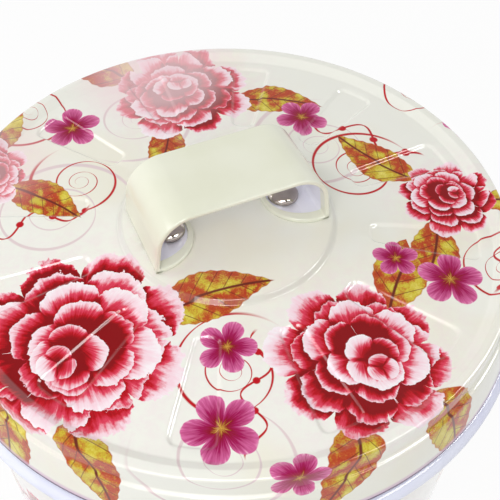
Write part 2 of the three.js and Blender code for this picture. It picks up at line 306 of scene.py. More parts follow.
class Graph:
    """The node tree of a material or a world."""

    def __init__(self, owner):
        owner.use_nodes = True
        self.owner = owner
        self.tree = owner.node_tree
        self.tree.nodes.clear()

    def node(self, kind, **settings):
        made = self.tree.nodes.new(kind)
        for key, value in settings.items():
            setattr(made, key, value)
        return made

    def put(self, socket, value):
        if isinstance(value, Value):
            self.tree.links.new(value.socket, socket)
        else:
            socket.default_value = value

    def math(self, kind, *values, clamp=False):
        made = self.node("ShaderNodeMath", operation=kind, use_clamp=clamp)
        for socket, value in zip(made.inputs, values):
            self.put(socket, value)
        return Value(self, made.outputs[0])

    def smooth(self, value, low, high, first=0.0, last=1.0):
        made = self.node("ShaderNodeMapRange", interpolation_type="SMOOTHSTEP")
        for i, v in enumerate((value, low, high, first, last)):
            self.put(made.inputs[i], v)
        return Value(self, made.outputs[0])

    def mix(self, share, a, b):
        made = self.node("ShaderNodeMix", data_type="RGBA")
        self.put(made.inputs[0], share)
        self.put(made.inputs[6], a)
        self.put(made.inputs[7], b)
        return Value(self, made.outputs[2])

    def mix_value(self, share, a, b):
        made = self.node("ShaderNodeMix", data_type="FLOAT")
        for i, v in zip((0, 2, 3), (share, a, b)):
            self.put(made.inputs[i], v)
        return Value(self, made.outputs[0])

    def mix_vector(self, share, a, b):
        made = self.node("ShaderNodeMix", data_type="VECTOR")
        for i, v in zip((0, 4, 5), (share, a, b)):
            self.put(made.inputs[i], v)
        return Value(self, made.outputs[1])

    def ramp(self, share, stops):
        made = self.node("ShaderNodeValToRGB")
        ramp = made.color_ramp
        while len(ramp.elements) < len(stops):
            ramp.elements.new(0.5)
        for element, (place, color) in zip(ramp.elements, stops):
            element.position, element.color = place, color
        self.put(made.inputs[0], share)
        return Value(self, made.outputs[0])

    def noise(self, vector, scale, detail=2.0, roughness=0.5):
        made = self.node("ShaderNodeTexNoise")
        self.put(made.inputs["Vector"], vector)
        self.put(made.inputs["Scale"], scale)
        self.put(made.inputs["Detail"], detail)
        self.put(made.inputs["Roughness"], roughness)
        return Value(self, made.outputs[0])

    def chance(self, vector):
        made = self.node("ShaderNodeTexWhiteNoise", noise_dimensions="3D")
        self.put(made.inputs["Vector"], vector)
        return Value(self, made.outputs["Value"])

    def vector(self, x, y, z=0.0):
        made = self.node("ShaderNodeCombineXYZ")
        for socket, value in zip(made.inputs, (x, y, z)):
            self.put(socket, value)
        return Value(self, made.outputs[0])

    def parts(self, vector):
        made = self.node("ShaderNodeSeparateXYZ")
        self.put(made.inputs[0], vector)
        return [Value(self, o) for o in made.outputs]

    def scaled(self, vector, scale, shift):
        made = self.node("ShaderNodeVectorMath", operation="MULTIPLY_ADD")
        self.put(made.inputs[0], vector)
        made.inputs[1].default_value = scale
        made.inputs[2].default_value = shift
        return Value(self, made.outputs[0])

    def length(self, vector):
        made = self.node("ShaderNodeVectorMath", operation="LENGTH")
        self.put(made.inputs[0], vector)
        return Value(self, made.outputs["Value"])

    def turned(self, vector, angle):
        made = self.node("ShaderNodeVectorRotate", rotation_type="Z_AXIS")
        self.put(made.inputs["Vector"], vector)
        made.inputs["Angle"].default_value = angle
        return Value(self, made.outputs[0])

    def angle(self, x, y):
        return self.math("ARCTAN2", y, x)

    def place(self, kind="Object"):
        return Value(self, self.node("ShaderNodeTexCoord").outputs[kind])

    def seen(self):
        """1 for the rays that show the background, and 0 for the light on the object."""
        light = self.node("ShaderNodeLightPath")
        camera, glossy, transmission = (
            Value(self, light.outputs[kind])
            for kind in ("Is Camera Ray", "Is Glossy Ray", "Is Transmission Ray"))
        return self.math("MAXIMUM", self.math("MAXIMUM", camera, glossy), transmission)

    def blend(self, share, first, second, output):
        """Mixes two shader nodes and puts out the result."""
        made = self.node("ShaderNodeMixShader")
        self.put(made.inputs[0], share)
        self.tree.links.new(first.outputs[0], made.inputs[1])
        self.tree.links.new(second.outputs[0], made.inputs[2])
        self.tree.links.new(made.outputs[0], self.node(output).inputs[0])

    def surface(self, color, bump=None, **sockets):
        shader = self.node("ShaderNodeBsdfPrincipled")
        self.put(shader.inputs["Base Color"], color)
        for name, value in sockets.items():
            self.put(shader.inputs[name.replace("_", " ")], value)
        if bump is not None:
            height, distance = bump
            node = self.node("ShaderNodeBump")
            node.inputs["Distance"].default_value = distance
            node.inputs["Strength"].default_value = 1.0
            self.put(node.inputs["Height"], height)
            self.tree.links.new(node.outputs[0], shader.inputs["Normal"])
        output = self.node("ShaderNodeOutputMaterial")
        self.tree.links.new(shader.outputs[0], output.inputs[0])
        return self.owner


def material_graph(name):
    return Graph(bpy.data.materials.new(name))


def srgb(red, green, blue):
    """A colour written as it shows, from 0 to 255, in the linear values that shaders take."""
    def linear(c):
        c /= 255
        return c / 12.92 if c <= 0.04045 else ((c + 0.055) / 1.055) ** 2.4
    return (linear(red), linear(green), linear(blue), 1.0)


CREAM = srgb(241, 241, 232)
CREAM_WARM = srgb(239, 236, 220)
BODY_CREAM = srgb(248, 247, 242)
HANDLE = srgb(236, 237, 219)
HANDLE_SHADE = srgb(230, 231, 210)
INNER = srgb(244, 244, 254)
INNER_SHADE = srgb(238, 238, 252)
RIM = srgb(238, 241, 254)
RIM_SHADE = srgb(226, 228, 250)
CRIMSON = srgb(192, 4, 24)
DEEP = srgb(140, 0, 8)
ROSE = srgb(224, 66, 94)
PETAL = srgb(247, 212, 222)
PETAL_EDGE = srgb(250, 240, 244)
MAGENTA = srgb(164, 8, 86)
MAGENTA_PALE = srgb(216, 104, 160)
OLIVE = srgb(208, 190, 56)
OLIVE_PALE = srgb(230, 216, 112)
RUST = srgb(190, 84, 36)
RUST_RED = srgb(182, 52, 28)
VEIN = srgb(112, 40, 26)
GOLD = srgb(214, 170, 70)
GHOST = srgb(226, 208, 208)
WASH = srgb(240, 216, 224)
# Pale haze over the print: a painted reflection.
PAINTED_HAZE = srgb(246, 218, 222)
# Painted shadow of the gap at the lid's foot.
GAP_PAINTED_SHADOW = srgb(82, 52, 92)
# Painted reflection of the lavender rim curl on the lid's foot.
FOOT_PAINTED_REFLECTION = srgb(206, 168, 200)
# Painted shade in the disc's step, and its share.
STEP_PAINTED_SHADE = srgb(130, 128, 118)
STEP_PAINTED_SHADE_SHARE = 0.19


# Print motifs. Each takes a list of places and draws the one nearest to the point shaded.
# Their numbers are in the motif's own scale, in which its outline reaches about 1.

def nearest(g, vector, items):
    """The local place in the nearest item's own scale, its distance, and its seed."""
    best_place, best, seed = None, None, 0.0
    for i, (x, y, size, turn) in enumerate(items):
        local = g.scaled(vector, (1 / size,) * 3, (-x / size, -y / size, 0))
        distance = g.length(local)
        if turn:
            local = g.turned(local, -turn)
        if best is None:
            best_place, best = local, distance
            continue
        closer = g.math("LESS_THAN", distance, best)
        best_place = g.mix_vector(closer, best_place, local)
        seed = g.mix_value(closer, seed, float(i))
        best = g.math("MINIMUM", best, distance)
    return best_place, best, seed


PETAL_RINGS = ((1.02, 8), (0.84, 7), (0.66, 6), (0.49, 5), (0.33, 4), (0.18, 3))
PETAL_TONES = [(0.0, DEEP), (0.2, CRIMSON), (0.44, ROSE), (0.68, PETAL), (1.0, PETAL_EDGE)]
RING_SWAY, RING_SWAY_TURN, RING_SHIFT = 0.035, 1.3, 0.03
RING_TURN, RING_SEED_TURN = 0.9, 1.7
PETAL_REACH, PETAL_LOBE, PETAL_CHANCE, PETAL_FRAY = 0.68, 0.26, 0.14, 0.22
PETAL_NOTCH = 0.4
DOUBLE_STREAKS = (11.0, 2.2, 1.5, 4.0, 0.65)
TONE_SHARE, TONE_STREAKS, TONE_CHANCE, TONE_NOTCH = 0.82, 0.75, 0.5, 0.45
DOUBLE_EDGE = 0.012


def petal_ring(g, local, seed, fine, size, count, k):
    """One ring of uneven petals.

    Gives its edge, its own radius, how far inside a petal the point is, and the petal's chance.
    """
    sway = RING_SWAY * k * math.cos(RING_SWAY_TURN * k)
    shifted = g.scaled(local, (1, 1, 1), (sway, RING_SHIFT * k, 0))
    radius = g.length(shifted)
    x, y, _ = g.parts(shifted)
    turn = g.angle(x, y) * (count / 2) + seed * RING_SEED_TURN + RING_TURN * k
    lobe = g.math("ABSOLUTE", g.math("COSINE", turn))
    number = g.math("FLOOR", turn / math.pi + 0.5)
    petal = g.math("MODULO", number + 4.0 * count, float(count))
    chance = g.chance(g.vector(petal, seed, float(k)))
    edge = ((lobe ** 0.5) * PETAL_LOBE + PETAL_REACH + (chance - 0.5) * PETAL_CHANCE
            + (fine - 0.5) * PETAL_FRAY) * size
    return edge, radius, lobe, chance


def double_blossom(g, base, vector, items, fine):
    """Round full blossoms of several rings of petals, dark between them and pale at their rims."""
    local, distance, seed = nearest(g, vector, items)
    x, y, _ = g.parts(local)
    rings = [petal_ring(g, local, seed, fine, size, count, k)
             for k, (size, count) in enumerate(PETAL_RINGS)]
    outer_edge, outer_radius, lobe_here, chance_here = rings[0]
    share = distance
    for k, (edge, radius, lobe, chance) in enumerate(rings):
        inside = g.math("GREATER_THAN", edge, radius)
        below = rings[k + 1][0] if k + 1 < len(rings) else 0.0
        share = g.mix_value(inside, share, (radius - below) / (edge - below))
        lobe_here = g.mix_value(inside, lobe_here, lobe)
        chance_here = g.mix_value(inside, chance_here, chance)
    around, outwards, *grain = DOUBLE_STREAKS
    streaks = g.noise(g.vector(g.angle(x, y) * around, distance * outwards, seed), *grain)
    notch = 1.0 - g.smooth(lobe_here, 0.0, PETAL_NOTCH)
    tone = (share * TONE_SHARE + (streaks - 0.5) * TONE_STREAKS
            + (chance_here - 0.5) * TONE_CHANCE - notch * TONE_NOTCH)
    mask = g.smooth(outer_edge - outer_radius, 0.0, DOUBLE_EDGE)
    return g.mix(mask, base, g.ramp(tone, PETAL_TONES))


OPEN_TONES = [(0.0, GOLD), (0.14, DEEP), (0.4, MAGENTA), (0.75, MAGENTA_PALE), (1.0, PETAL)]
OPEN_PETALS, OPEN_SEED_TURN = 5, 1.3
OPEN_REACH, OPEN_LOBE, OPEN_FRAY, OPEN_EDGE = 0.42, 0.52, 0.08, 0.03
OPEN_STREAKS = (8.0, 1.5, 1.8, 3.0)
OPEN_TONE_SHARE, OPEN_TONE_STREAKS = 0.8, 0.7


def open_blossom(g, base, vector, items, fine):
    """Small open blossoms of five petals."""
    local, radius, seed = nearest(g, vector, items)
    x, y, _ = g.parts(local)
    angle = g.angle(x, y)
    turn = angle * (OPEN_PETALS / 2) + seed * OPEN_SEED_TURN
    lobe = g.math("ABSOLUTE", g.math("COSINE", turn))
    edge = (lobe ** 0.5) * OPEN_LOBE + OPEN_REACH + (fine - 0.5) * OPEN_FRAY
    around, outwards, *grain = OPEN_STREAKS
    streaks = g.noise(g.vector(angle * around, radius * outwards, seed), *grain)
    tone = (radius / edge) * OPEN_TONE_SHARE + (streaks - 0.5) * OPEN_TONE_STREAKS
    mask = g.smooth(edge - radius, 0.0, OPEN_EDGE)
    return g.mix(mask, base, g.ramp(tone, OPEN_TONES))


LEAF_TONES = [(0.28, OLIVE_PALE), (0.42, OLIVE), (0.53, RUST), (0.62, RUST_RED), (0.74, OLIVE)]
LEAF_BOW, LEAF_BOW_REST = 0.12, 0.06
LEAF_SWELL, LEAF_WIDTH = 0.78, 0.47
LEAF_TEETH, LEAF_TOOTH = 11.0, 0.05
LEAF_PATCHES, LEAF_GRAIN, LEAF_GRAIN_SHARE = (2.6, 4.0), (34.0, 3.0, 0.7), 0.30
LEAF_GRAIN_SEED = 9.0
LEAF_VEINS, LEAF_VEIN_SLANT, LEAF_VEIN_SHARE = 7.0, 3.2, 0.75
LEAF_VEIN_WIDTH, LEAF_RIB_WIDTH = (0.015, 0.06), (0.012, 0.035)
LEAF_RIM_WIDTH, LEAF_RIM_SHARE, LEAF_EDGE = 0.05, 0.6, 0.02


def leaves(g, base, vector, items):
    """Leaves that run along their own +X, from -1 to 1."""
    local, _, seed = nearest(g, vector, items)
    x, y, _ = g.parts(local)
    bow = y + x * x * LEAF_BOW - LEAF_BOW_REST
    along = g.math("MULTIPLY", x + 1.0, 0.5, clamp=True)
    half = g.math("SINE", (along ** LEAF_SWELL) * math.pi) * LEAF_WIDTH
    teeth = g.math("PINGPONG", along * LEAF_TEETH, 0.5) * LEAF_TOOTH
    across = g.math("ABSOLUTE", bow)
    inside = half - teeth - across
    within = g.math("LESS_THAN", g.math("ABSOLUTE", x), 1.0)
    mask = g.smooth(inside, 0.0, LEAF_EDGE) * within
    patches = g.noise(g.vector(x, y, seed), *LEAF_PATCHES)
    grain = g.noise(g.vector(x, y, seed + LEAF_GRAIN_SEED), *LEAF_GRAIN)
    color = g.ramp(patches + (grain - 0.5) * LEAF_GRAIN_SHARE, LEAF_TONES)
    side = g.math("PINGPONG", along * LEAF_VEINS - across * LEAF_VEIN_SLANT + 10.0, 0.5)
    vein = 1.0 - g.smooth(side, *LEAF_VEIN_WIDTH)
    rib = 1.0 - g.smooth(across, *LEAF_RIB_WIDTH)
    color = g.mix(g.math("MAXIMUM", vein * LEAF_VEIN_SHARE, rib), color, VEIN)
    rim = 1.0 - g.smooth(inside, 0.0, LEAF_RIM_WIDTH)
    color = g.mix(rim * LEAF_RIM_SHARE, color, RUST)
    return g.mix(mask, base, color)


TENDRIL_GROWTH, TENDRIL_MIDDLE = 2.1, 0.02
TENDRIL_SWELLS, TENDRIL_SWELL, TENDRIL_LEAST = 6.0, 0.035, 0.012
TENDRIL_START, TENDRIL_END = (0.07, 0.12), (0.92, 1.0)


def tendrils(g, base, vector, items, color):
    """Fine curling strokes that wind in towards their own middle."""
    local, radius, seed = nearest(g, vector, items)
    x, y, _ = g.parts(local)
    angle = g.angle(x, y) / TURN
    wind = g.math("LOGARITHM", g.math("MAXIMUM", radius, TENDRIL_MIDDLE), TENDRIL_GROWTH) + angle
    line = g.math("PINGPONG", wind + 8.0, 0.5)
    swell = g.math("ABSOLUTE", g.math("SINE", angle * TENDRIL_SWELLS + seed))
    width = swell * TENDRIL_SWELL + TENDRIL_LEAST
    stroke = 1.0 - g.smooth(line, width * 0.5, width * 1.5)
    fade = g.smooth(radius, *TENDRIL_START) * (1.0 - g.smooth(radius, *TENDRIL_END))
    return g.mix(stroke * fade, base, color)


VINE_WAVES, VINE_SWING, VINE_CALM = 7.0, 0.20, 0.12
VINE_SWELL, VINE_LEAST = 0.016, 0.008
VINE_BUD, VINE_END = (0.045, 0.062), (0.90, 1.0)


def vines(g, base, vector, items, color):
    """Waving stems that run along their own X, with a round bud in each bend."""
    local, _, seed = nearest(g, vector, items)
    x, y, _ = g.parts(local)
    phase = x * VINE_WAVES + seed
    wave = g.math("SINE", phase) * (VINE_SWING - x * x * VINE_CALM)
    width = g.math("ABSOLUTE", g.math("COSINE", phase)) * VINE_SWELL + VINE_LEAST
    stroke = 1.0 - g.smooth(g.math("ABSOLUTE", y - wave), width * 0.6, width * 1.6)
    ends = 1.0 - g.smooth(g.math("ABSOLUTE", x), *VINE_END)
    bud_x = g.math("PINGPONG", phase / math.pi + 20.0, 0.5) * (math.pi / VINE_WAVES)
    bud = 1.0 - g.smooth(g.math("SQRT", bud_x * bud_x + y * y), *VINE_BUD)
    return g.mix(g.math("MAXIMUM", stroke, bud) * ends, base, color)


FINE_GRAIN, CLOUD_GRAIN, CLOUD_SPAN = (0.22, 4.0, 0.6), (0.018, 3.0), (0.42, 0.68)
HALO_REACH, HALO_GRAIN, HALO_SHARE = (0.85, 1.7), (0.35, 0.65), 0.25


def print_layers(g, vector, ground, doubles, opens, leaf_list, curls, ghosts, stems, painted_haze=()):
    """The whole printed picture over the lacquer's two ground colours, with pale patches of painted
    reflection haze over it.
    """
    fine = g.noise(vector, *FINE_GRAIN)
    cloud = g.noise(vector, *CLOUD_GRAIN)
    color = g.mix(g.smooth(cloud, *CLOUD_SPAN), *ground)
    _, glow, _ = nearest(g, vector, doubles)
    halo = (1.0 - g.smooth(glow, *HALO_REACH)) * g.smooth(fine, *HALO_GRAIN)
    color = g.mix(halo * HALO_SHARE, color, WASH)
    color = tendrils(g, color, vector, ghosts, GHOST)
    color = tendrils(g, color, vector, curls, CRIMSON)
    color = vines(g, color, vector, stems, CRIMSON)
    color = leaves(g, color, vector, leaf_list)
    color = double_blossom(g, color, vector, doubles, fine)
    color = open_blossom(g, color, vector, opens, fine)
    # Pale patches painted over the print: a painted reflection, the soft haze over the blossoms.
    for x, y, inner, outer, share in painted_haze:
        away = g.length(g.scaled(vector, (1, 1, 1), (-x, -y, 0)))
        color = g.mix((1.0 - g.smooth(away, inner, outer)) * share, color, PAINTED_HAZE)
    return color


# Lid print, in millimetres on the flat blank: x to the right and y away from the camera.
# Blossoms, tendrils and stems are x, y, size and turn, and the places of the painted
# reflection haze have two radii and a share.

LID_TURN = math.radians(23.3)
LID_DOUBLES = [(-56, -59, 44, 0.4), (48, -66, 35, 1.9), (92, 14, 22, 3.0), (-22, 82, 34, 4.1),
               (-104, 28, 20, 0.8)]
LID_OPENS = [(0, -62, 12, 0), (-2, -94, 15, 0), (86, -30, 14, 0), (34, 64, 13, 0),
             (-70, 58, 14, 0), (-108, -16, 13, 0), (108, 58, 12, 0), (24, -114, 12, 0),
             (-64, 110, 12, 0), (66, -20, 10, 0)]
LID_LEAF_PLAN = ((0, ((20, 24), (172, 26), (232, 28), (278, 24))),
                 (1, ((62, 24), (322, 28), (262, 24))),
                 (2, ((250, 22), (140, 22), (350, 24))),
                 (3, ((352, 22), (156, 24), (262, 18))),
                 (4, ((80, 18), (330, 20))))
LEAF_START_SHARE, LEAF_MIDDLE_SHARE = 0.78, 0.86


def leaves_round(doubles, plan):
    """Leaves that start under a blossom's rim and point away from it.

    The plan gives each blossom's number, and its leaves' angles in degrees and their lengths.
    """
    made = []
    for index, around in plan:
        x, y, size, _ = doubles[index]
        for degrees, length in around:
            turn = math.radians(degrees)
            reach = size * LEAF_START_SHARE + length * LEAF_MIDDLE_SHARE
            made.append((x + reach * math.cos(turn), y + reach * math.sin(turn), length, turn))
    return made


LID_LEAVES = leaves_round(LID_DOUBLES, LID_LEAF_PLAN)
LID_CURLS = [(56, 30, 26, 0.4), (-62, 22, 24, 2.2), (2, -72, 26, 1.0), (-90, 66, 24, 3.0),
             (88, 80, 24, 5.0), (108, -26, 20, 1.0)]
# Places of the painted reflection haze: pale patches over blossoms.
LID_PAINTED_HAZE = [(-34, 96, 16, 46, 0.62), (-104, 34, 8, 40, 0.4)]
LID_GHOSTS = [(-70, 4, 34, 0), (40, 44, 34, 1.5), (0, -106, 34, 3.0), (-40, 62, 30, 4.0)]
LID_STEMS = [(-84, -2, 30, 0.3), (56, 54, 34, -0.5), (10, -80, 26, 1.5), (112, -14, 26, 1.2)]


# Where the print turns down over the bead, the painted shade in the disc's step, and the
# painted shadow and painted reflection at the lid's foot edge, as distances past the radius or
# height that each starts from
WALL_START, WALL_END = -2, -0.5
STEP_RISE, STEP_FALL = (-0.9, 0.3), (1.0, 1.0)
OUTSIDE_START, OUTSIDE_END = -2, -1.4
GAP_PAINTED_SHADOW_SPAN, FOOT_PAINTED_REFLECTION_SPAN, FOOT_PAINTED_REFLECTION_SHARE = (1.5, 2.1), (2.3, 4.2), 0.7
LEAST_RADIUS = 1e-5


def lid_print():
    g = material_graph("lid_print")
    x, y, z = g.parts(g.place())
    radius = g.math("MAXIMUM", g.length(g.vector(x, y)), LEAST_RADIUS)

    def past(start, from_start, end, from_end):
        return g.smooth(radius, (start + from_start) * MM, (end + from_end) * MM)

    def near_edge(span):
        return 1.0 - g.smooth(z, (LID_Z + span[0]) * MM, (LID_Z + span[1]) * MM)

    drop = g.math("MAXIMUM", (LID_Z + BEAD_Z) * MM - z, 0.0)
    on_wall = past(BEAD_X, WALL_START, BEAD_X, WALL_END)
    spread = (drop * on_wall / radius + 1.0) * (1 / MM)
    flat = g.turned(g.vector(x * spread, y * spread), LID_TURN)
    color = print_layers(g, flat, (CREAM, CREAM_WARM), LID_DOUBLES, LID_OPENS, LID_LEAVES,
                         LID_CURLS, LID_GHOSTS, LID_STEMS, LID_PAINTED_HAZE)
    # A grey band mixed into the print on the disc's step is painted shade.
    step = (past(DISC_RADIUS, STEP_RISE[0], DISC_RADIUS, STEP_RISE[1])
            * (1.0 - past(DISC_RADIUS, STEP_FALL[0], PANEL_START_X, STEP_FALL[1])))
    color = g.mix(step * STEP_PAINTED_SHADE_SHARE, color, STEP_PAINTED_SHADE)
    outside = past(FOOT_RADIUS, OUTSIDE_START, FOOT_RADIUS, OUTSIDE_END)
    # A mauve band near the lid's foot is a painted reflection of the lavender rim curl.
    color = g.mix(near_edge(FOOT_PAINTED_REFLECTION_SPAN) * outside * FOOT_PAINTED_REFLECTION_SHARE, color, FOOT_PAINTED_REFLECTION)
    # Below it, a dark line at the very foot is a painted shadow of the gap over the rim curl.
    return painted(g, g.mix(near_edge(GAP_PAINTED_SHADOW_SPAN) * outside, color, GAP_PAINTED_SHADOW))


PEEL, DENTS, WEAR = (900.0, 2.0), (22.0, 1.0), (140.0, 3.0)
PEEL_SHARE, DENTS_SHARE, BUMP_HEIGHT = 0.02, 0.6, 0.0004
WEAR_SPAN, WEAR_SHARE = (0.2, 0.9), 0.10
UNDERCOAT_SHINE = 0.12


def painted(g, color, coat=1.0, coat_roughness=0.03, rough=0.4):
    """Glossy lacquer over tinplate: faint unevenness in the sheet and fine orange peel."""
    place = g.place()
    height = g.noise(place, *PEEL) * PEEL_SHARE + g.noise(place, *DENTS) * DENTS_SHARE
    wear = g.smooth(g.noise(place, *WEAR), *WEAR_SPAN)
    return g.surface(color, bump=(height, BUMP_HEIGHT), Roughness=wear * WEAR_SHARE + rough,
                     Coat_Weight=coat, Coat_Roughness=coat_roughness,
                     Specular_IOR_Level=UNDERCOAT_SHINE)


# Body print, in millimetres round the wall and up it, repeated three times round

BODY_REPEATS = 3
BODY_REPEAT = TURN * BODY_RADIUS / BODY_REPEATS
BODY_DOUBLES = [(62, 122, 42, 0.5), (158, 62, 38, 2.0), (186, 156, 27, 3.1), (84, 36, 25, 1.2)]
BODY_OPENS = [(112, 94, 14, 0), (28, 66, 14, 0), (210, 110, 13, 0), (122, 164, 14, 0),
              (20, 178, 12, 0), (206, 26, 12, 0), (118, 70, 10, 0)]
BODY_LEAF_PLAN = ((0, ((40, 26), (160, 22), (250, 24))),
                  (1, ((100, 24), (20, 22), (205, 22))),
                  (2, ((120, 22), (215, 22))),
                  (3, ((150, 22), (260, 16), (75, 18))))
BODY_LEAVES = leaves_round(BODY_DOUBLES, BODY_LEAF_PLAN)
BODY_CURLS = [(24, 30, 24, 0.5), (130, 130, 24, 2.0), (24, 178, 22, 1.0), (120, 24, 22, 4.0)]
BODY_GHOSTS = [(30, 108, 30, 0.0), (112, 180, 30, 1.0), (170, 110, 30, 3.0)]
BODY_STEMS = [(112, 196, 40, 0.1), (30, 20, 34, 0.2), (196, 92, 26, 1.4)]


def body_print():
    g = material_graph("body_print")
    x, y, z = g.parts(g.place())
    turns = g.angle(x, y) / TURN + 1.5
    across = g.math("FRACT", turns * float(BODY_REPEATS)) * BODY_REPEAT
    flat = g.vector(across, z * (1 / MM))
    return painted(g, print_layers(g, flat, (BODY_CREAM, CREAM), BODY_DOUBLES, BODY_OPENS,
                                   BODY_LEAVES, BODY_CURLS, BODY_GHOSTS, BODY_STEMS))


PLAIN_CLOUD, PLAIN_SPAN = (30.0, 3.0), (0.3, 0.7)


def plain_paint(name, color, shade, **finish):
    g = material_graph(name)
    cloud = g.smooth(g.noise(g.place(), *PLAIN_CLOUD), *PLAIN_SPAN)
    return painted(g, g.mix(cloud, color, shade), **finish)


TIN_GRAIN, TIN_SPANGLE, TIN_STRETCH, TIN_BUMP = (1500.0, 2.0), (60.0, 4.0), 0.04, 0.00003
TIN_ROUGH, TIN_ROUGH_GRAIN = 0.2, 0.12
TIN_DARK, TIN_PALE = srgb(184, 187, 190), srgb(208, 210, 212)


def tinplate():
    g = material_graph("bare_tinplate")
    place = g.place()
    grain = g.noise(g.scaled(place, (1.0, TIN_STRETCH, 1.0), (0, 0, 0)), *TIN_GRAIN)
    color = g.mix(g.noise(place, *TIN_SPANGLE), TIN_DARK, TIN_PALE)
    return g.surface(color, bump=(grain, TIN_BUMP), Metallic=1.0,
                     Roughness=grain * TIN_ROUGH_GRAIN + TIN_ROUGH)


CHROME_SCUFF, CHROME_CLOUD, CHROME_BUMP = (2600.0, 4.0), (300.0, 2.0), 0.00002
CHROME_ROUGH, CHROME_ROUGH_SCUFF = 0.05, 0.08
CHROME_DARK, CHROME_PALE = srgb(172, 162, 156), srgb(192, 184, 178)


def chrome():
    g = material_graph("rivet_chrome")
    place = g.place()
    scuff = g.noise(place, *CHROME_SCUFF)
    color = g.mix(g.noise(place, *CHROME_CLOUD), CHROME_DARK, CHROME_PALE)
    return g.surface(color, bump=(scuff, CHROME_BUMP), Metallic=1.0,
                     Roughness=scuff * CHROME_ROUGH_SCUFF + CHROME_ROUGH)


inner_lacquer = plain_paint("inner_lacquer", INNER, INNER_SHADE)
rim_lacquer = plain_paint("rim_lacquer", RIM, RIM_SHADE, coat=0.7)
handle_lacquer = plain_paint("handle_lacquer", HANDLE, HANDLE_SHADE, coat_roughness=0.12,
                             rough=0.45)
tin = tinplate()
rivet_metal = chrome()
lid_paint = lid_print()
body_paint = body_print()


# Body wall, with its curl and a lapped seam at the back

SEAM_ANGLE = math.radians(66.7)
SEAM_HALF_WIDTH = 2.6
SEAM_SLOPE = 0.8
SEAM_RISE = 0.28
SEAM_STEPS = 12
SEAM_STEP = math.radians(0.2)
WALL_STEPS = 300
WALL_ROW_HEIGHT = 12
CURL_STEPS = 40


def seam_press(x, z, angle):
    turn = (angle - SEAM_ANGLE + math.pi) % TURN - math.pi
    side = abs(turn) * BODY_RADIUS
    return x + SEAM_RISE * (1 - smoothstep((side - SEAM_HALF_WIDTH) / SEAM_SLOPE)), z


def wall_angles():
    """Close together at the seam, and even round the rest of the wall."""
    near = [SEAM_ANGLE + SEAM_STEP * i for i in range(-SEAM_STEPS, SEAM_STEPS + 1)]
    spread = TURN - (near[-1] - near[0])
    return near + [near[-1] + spread * i / WALL_STEPS for i in range(1, WALL_STEPS)]


def body_wall():
    face = filled([(BODY_RADIUS, SHEET + GAP), (BODY_RADIUS, CURL_Z)], WALL_ROW_HEIGHT)
    face += arc((CURL_X, CURL_Z), CURL_DRAWN - SHEET, math.pi, -CURL_TURN_SHARE * math.pi,
                CURL_STEPS)[1:]
    profile = face + offset(face, -SHEET)[::-1]
    data = lathe(profile, wall_angles(), press=seam_press, inner_from=len(face) - 1)
    piece = finish_mesh("wall", data, [body_paint, rim_lacquer])
    mount(piece, "box", "body_print", "body_wall")


def body_bottom():
    inner, outer = BODY_INNER - GAP, BODY_RADIUS + GAP
    bead_start, bead_end = BOTTOM_BEAD_X - BOTTOM_BEAD_HALF, BOTTOM_BEAD_X + BOTTOM_BEAD_HALF
    bead_top = BOTTOM_Z + BOTTOM_BEAD_RISE
    face = bent([(0, BOTTOM_Z, 0),
                 (bead_start - BOTTOM_BEAD_RISE, BOTTOM_Z, BOTTOM_BEAD_FOOT_BEND),
                 (bead_start, bead_top, BOTTOM_BEAD_RISE),
                 (bead_end, bead_top, BOTTOM_BEAD_RISE),
                 (bead_end + BOTTOM_BEAD_RISE, BOTTOM_Z, BOTTOM_BEAD_FOOT_BEND),
                 (inner - SHEET, BOTTOM_Z, BOTTOM_BEND), (inner - SHEET, 0, CHIME_BEND),
                 (outer + SHEET, 0, CHIME_BEND), (outer + SHEET, CHIME_HEIGHT, 0)])
    data = lathe(face + offset(face, -SHEET)[::-1], even_angles(TURN_STEPS), closed=False)
    mount(finish_mesh("bottom", data, [tin]), "box", "tinplate", "body_bottom")


# Lid

# Where rows are cut: in from both ends of a flute, between them, and round half of its pitch
FLUTE_END_ROWS = (0, 0.5, 1, 1.5, 2, 2.7, 3.5, 4.4, 6)
PANEL_ROWS = [64 + 3 * i for i in range(11)]
FLUTE_COLUMNS = (0, 1.2, 2.4, 3.2, 3.6, 3.9, 4.2, 4.5, 4.8, 5.1, 5.4, 5.8, 6.6, 8.0, 9.6, 11.2,
                 12.8, 14.2)
FLUTE_PITCH = TURN / FLUTE_COUNT


def panel_z(radius):
    share = (radius - PANEL_START_X) / (PANEL_EDGE_X - PANEL_START_X)
    return PANEL_START_Z + (PANEL_EDGE_Z - PANEL_START_Z) * share


def flute_press(x, z, angle):
    turn = (angle + FLUTE_PITCH / 2) % FLUTE_PITCH - FLUTE_PITCH / 2
    if not FLUTE_INNER < x < FLUTE_OUTER:
        return x, z
    side = (FLUTE_HALF_ANGLE - abs(turn)) * x
    end = min(x - FLUTE_INNER, FLUTE_OUTER - x)
    if side <= 0:
        return x, z
    inside = min(side, end)
    if side < FLUTE_CORNER and end < FLUTE_CORNER:
        inside = FLUTE_CORNER - math.hypot(FLUTE_CORNER - side, FLUTE_CORNER - end)
    return x, z - FLUTE_DEPTH * smoothstep(inside / FLUTE_RUN)


def lid_angles():
    around = sorted({-column for column in FLUTE_COLUMNS} | set(FLUTE_COLUMNS))
    return [FLUTE_PITCH * k + math.radians(column)
            for k in range(FLUTE_COUNT) for column in around]


